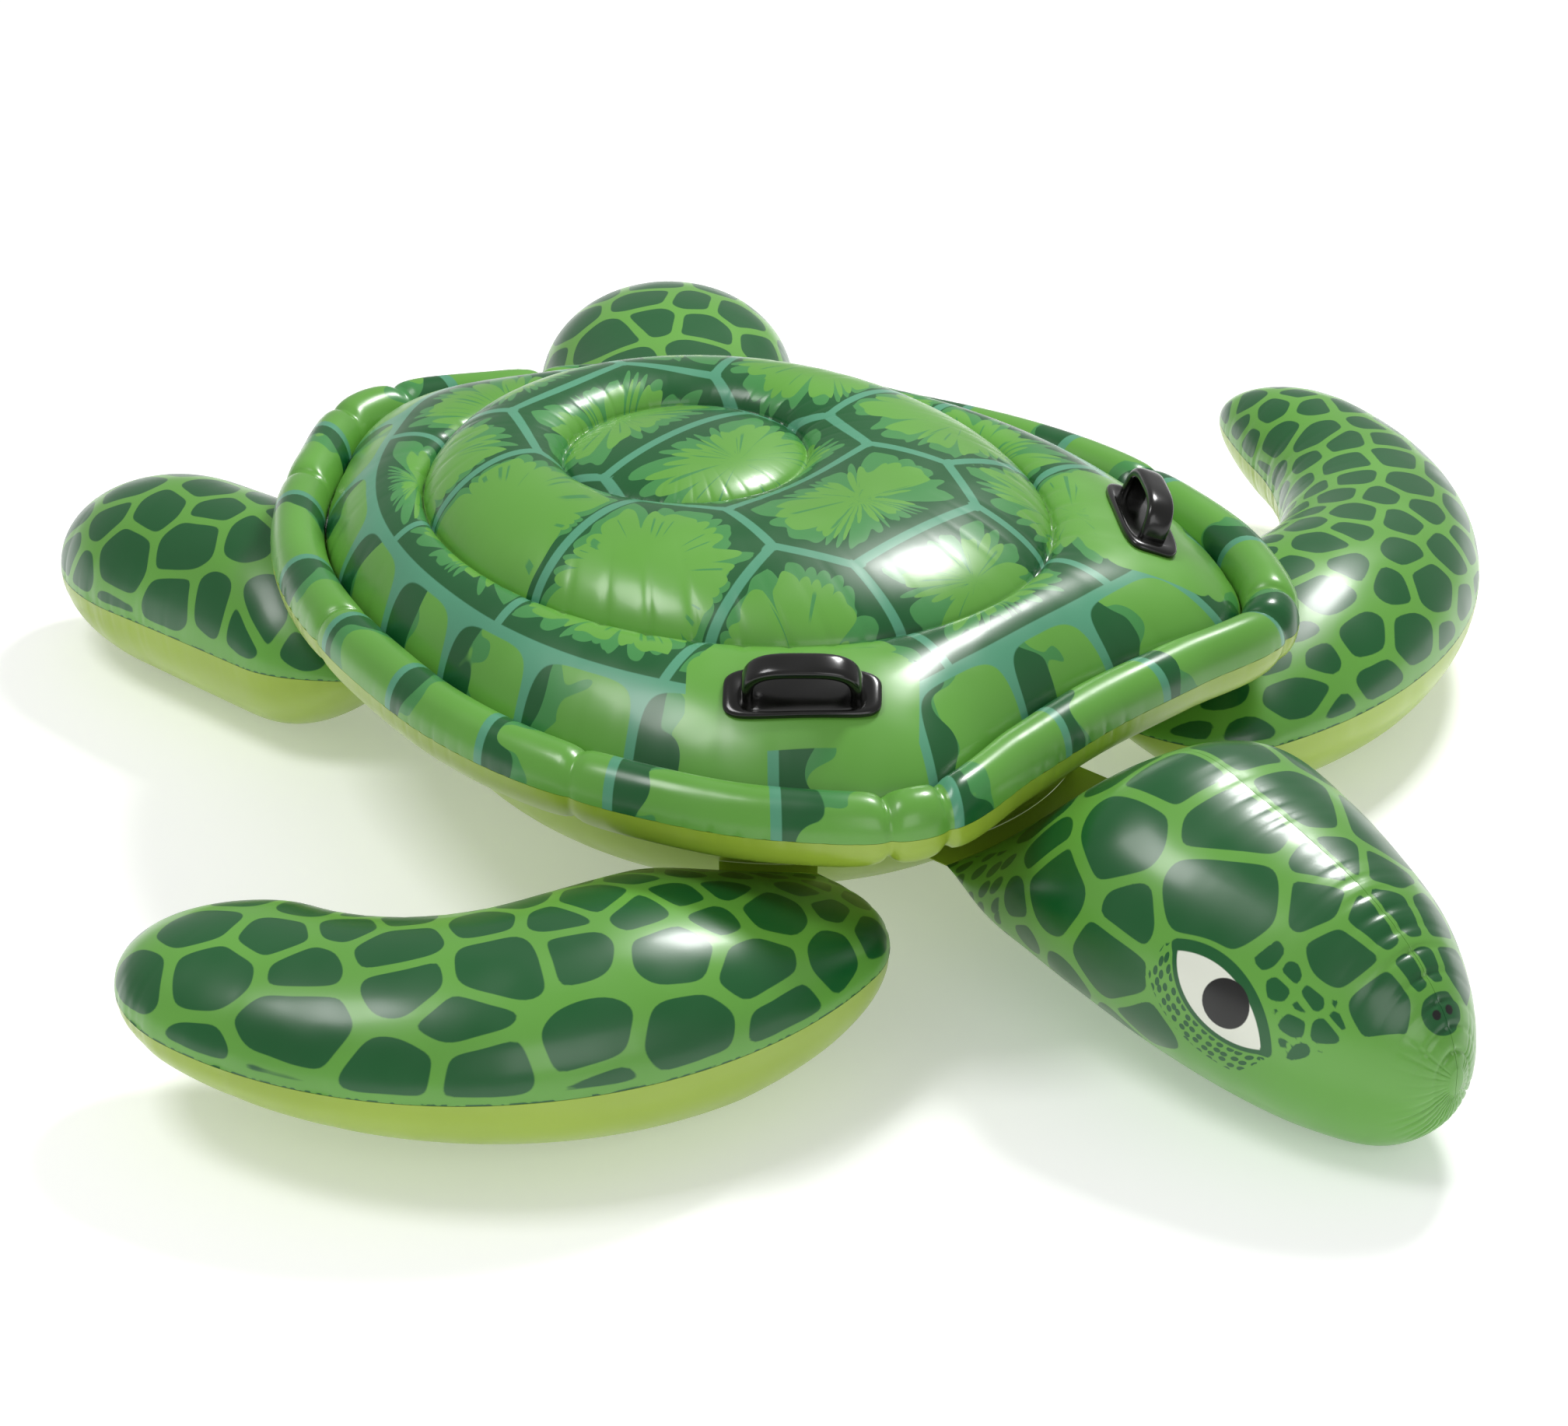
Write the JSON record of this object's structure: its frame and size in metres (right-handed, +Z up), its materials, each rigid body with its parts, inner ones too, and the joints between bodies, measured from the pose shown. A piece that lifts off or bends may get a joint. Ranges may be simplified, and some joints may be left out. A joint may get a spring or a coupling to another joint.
{
  "type": "inflatable pool float",
  "caption": "Ride-on inflatable pool float shaped like a sea turtle, with a padded shell, flexing flippers, a nodding head, grab handles and push-in air valves.",
  "frame": {"origin": "middle of the flat belly floor, on the surface that the float stands on", "axes": "+Z up, -Y forward along the nose, +X to the turtle's left"},
  "size_m": [1.3292, 1.323, 0.29],
  "materials": {
    "shell_print": "satin vinyl, printed",
    "flipper_print": "satin vinyl, printed",
    "head_print": "satin vinyl, printed",
    "plain_vinyl": "satin vinyl",
    "web_vinyl": "clear vinyl",
    "valve_vinyl": "soft moulded vinyl",
    "black_vinyl": "glossy moulded vinyl"
  },
  "bodies": {
    "shell": {"shell_top_panel": "shell_print", "shell_bottom_panel": "plain_vinyl", "rim_top_strip": "shell_print", "rim_bottom_strip": "plain_vinyl", "dome_web": "web_vinyl", "island_web": "web_vinyl", "belly_panel": "plain_vinyl", "belly_floor": "plain_vinyl", "front_right_tab": "plain_vinyl", "front_left_tab": "plain_vinyl", "rear_right_tab": "plain_vinyl", "rear_left_tab": "plain_vinyl", "neck_tab": "plain_vinyl", "handle_left": "black_vinyl", "handle_right": "black_vinyl", "shell_valve_flange": "valve_vinyl", "belly_valve_flange": "valve_vinyl"},
    "front_right_flipper": {"front_right_top": "flipper_print", "front_right_bottom": "plain_vinyl"},
    "front_left_flipper": {"front_left_top": "flipper_print", "front_left_bottom": "plain_vinyl"},
    "rear_right_flipper": {"rear_right_top": "flipper_print", "rear_right_bottom": "plain_vinyl"},
    "rear_left_flipper": {"rear_left_top": "flipper_print", "rear_left_bottom": "plain_vinyl"},
    "head": {"head_left_panel": "head_print", "head_right_panel": "head_print"},
    "shell_valve_stem": {"shell_valve_stem": "valve_vinyl"},
    "shell_valve_plug": {"shell_valve_plug": "valve_vinyl"},
    "shell_valve_flap": {"shell_valve_flap": "web_vinyl"},
    "belly_valve_stem": {"belly_valve_stem": "valve_vinyl"},
    "belly_valve_plug": {"belly_valve_plug": "valve_vinyl"},
    "belly_valve_flap": {"belly_valve_flap": "web_vinyl"}
  },
  "joints": [
    {"name": "front_right_flap", "type": "hinge", "parent": "shell", "child": "front_right_flipper", "pos_m": [-0.18154, -0.18154, 0.084], "axis": [0.6428, -0.766, 0], "range_deg": [-4, 20], "stiffness_Nm_per_rad": 6, "springref_deg": -4.01},
    {"name": "front_left_flap", "type": "hinge", "parent": "shell", "child": "front_left_flipper", "pos_m": [0.18154, -0.18154, 0.084], "axis": [0.6428, 0.766, 0], "range_deg": [-4, 20], "stiffness_Nm_per_rad": 6, "springref_deg": -4.77},
    {"name": "rear_right_flap", "type": "hinge", "parent": "shell", "child": "rear_right_flipper", "pos_m": [-0.13895, 0.24066, 0.084], "axis": [-0.9998, -0.0175, 0], "range_deg": [-1, 20], "stiffness_Nm_per_rad": 4, "springref_deg": -2.86},
    {"name": "rear_left_flap", "type": "hinge", "parent": "shell", "child": "rear_left_flipper", "pos_m": [0.13616, 0.23583, 0.084], "axis": [-0.6561, 0.7547, 0], "range_deg": [-4, 20], "stiffness_Nm_per_rad": 5, "springref_deg": -3.67},
    {"name": "head_nod", "type": "hinge", "parent": "shell", "child": "head", "pos_m": [0, -0.28447, 0.084], "axis": [0.9848, -0.1736, 0], "range_deg": [-4, 12], "stiffness_Nm_per_rad": 8, "springref_deg": -1.95},
    {"name": "shell_valve_pull", "type": "slide", "parent": "shell", "child": "shell_valve_stem", "axis": [0, 0, -1], "range_m": [0, 0.0145]},
    {"name": "shell_plug_swing", "type": "hinge", "parent": "shell_valve_stem", "child": "shell_valve_plug", "pos_m": [-0.0095, 0.33056, 0.1354], "axis": [0, 1, 0], "range_deg": [0, 105]},
    {"name": "shell_flap_open", "type": "hinge", "parent": "shell_valve_stem", "child": "shell_valve_flap", "pos_m": [-0.006, 0.33056, 0.155], "axis": [0, -1, 0], "range_deg": [0, 40]},
    {"name": "belly_valve_pull", "type": "slide", "parent": "shell", "child": "belly_valve_stem", "axis": [0, 0.8243, -0.5661], "range_m": [0, 0.0145]},
    {"name": "belly_plug_swing", "type": "hinge", "parent": "belly_valve_stem", "child": "belly_valve_plug", "pos_m": [-0.0095, 0.26583, 0.08578], "axis": [0, 0.5661, 0.8243], "range_deg": [0, 105]},
    {"name": "belly_flap_open", "type": "hinge", "parent": "belly_valve_stem", "child": "belly_valve_flap", "pos_m": [-0.006, 0.24968, 0.09687], "axis": [0, -0.5661, -0.8243], "range_deg": [0, 40]}
  ]
}
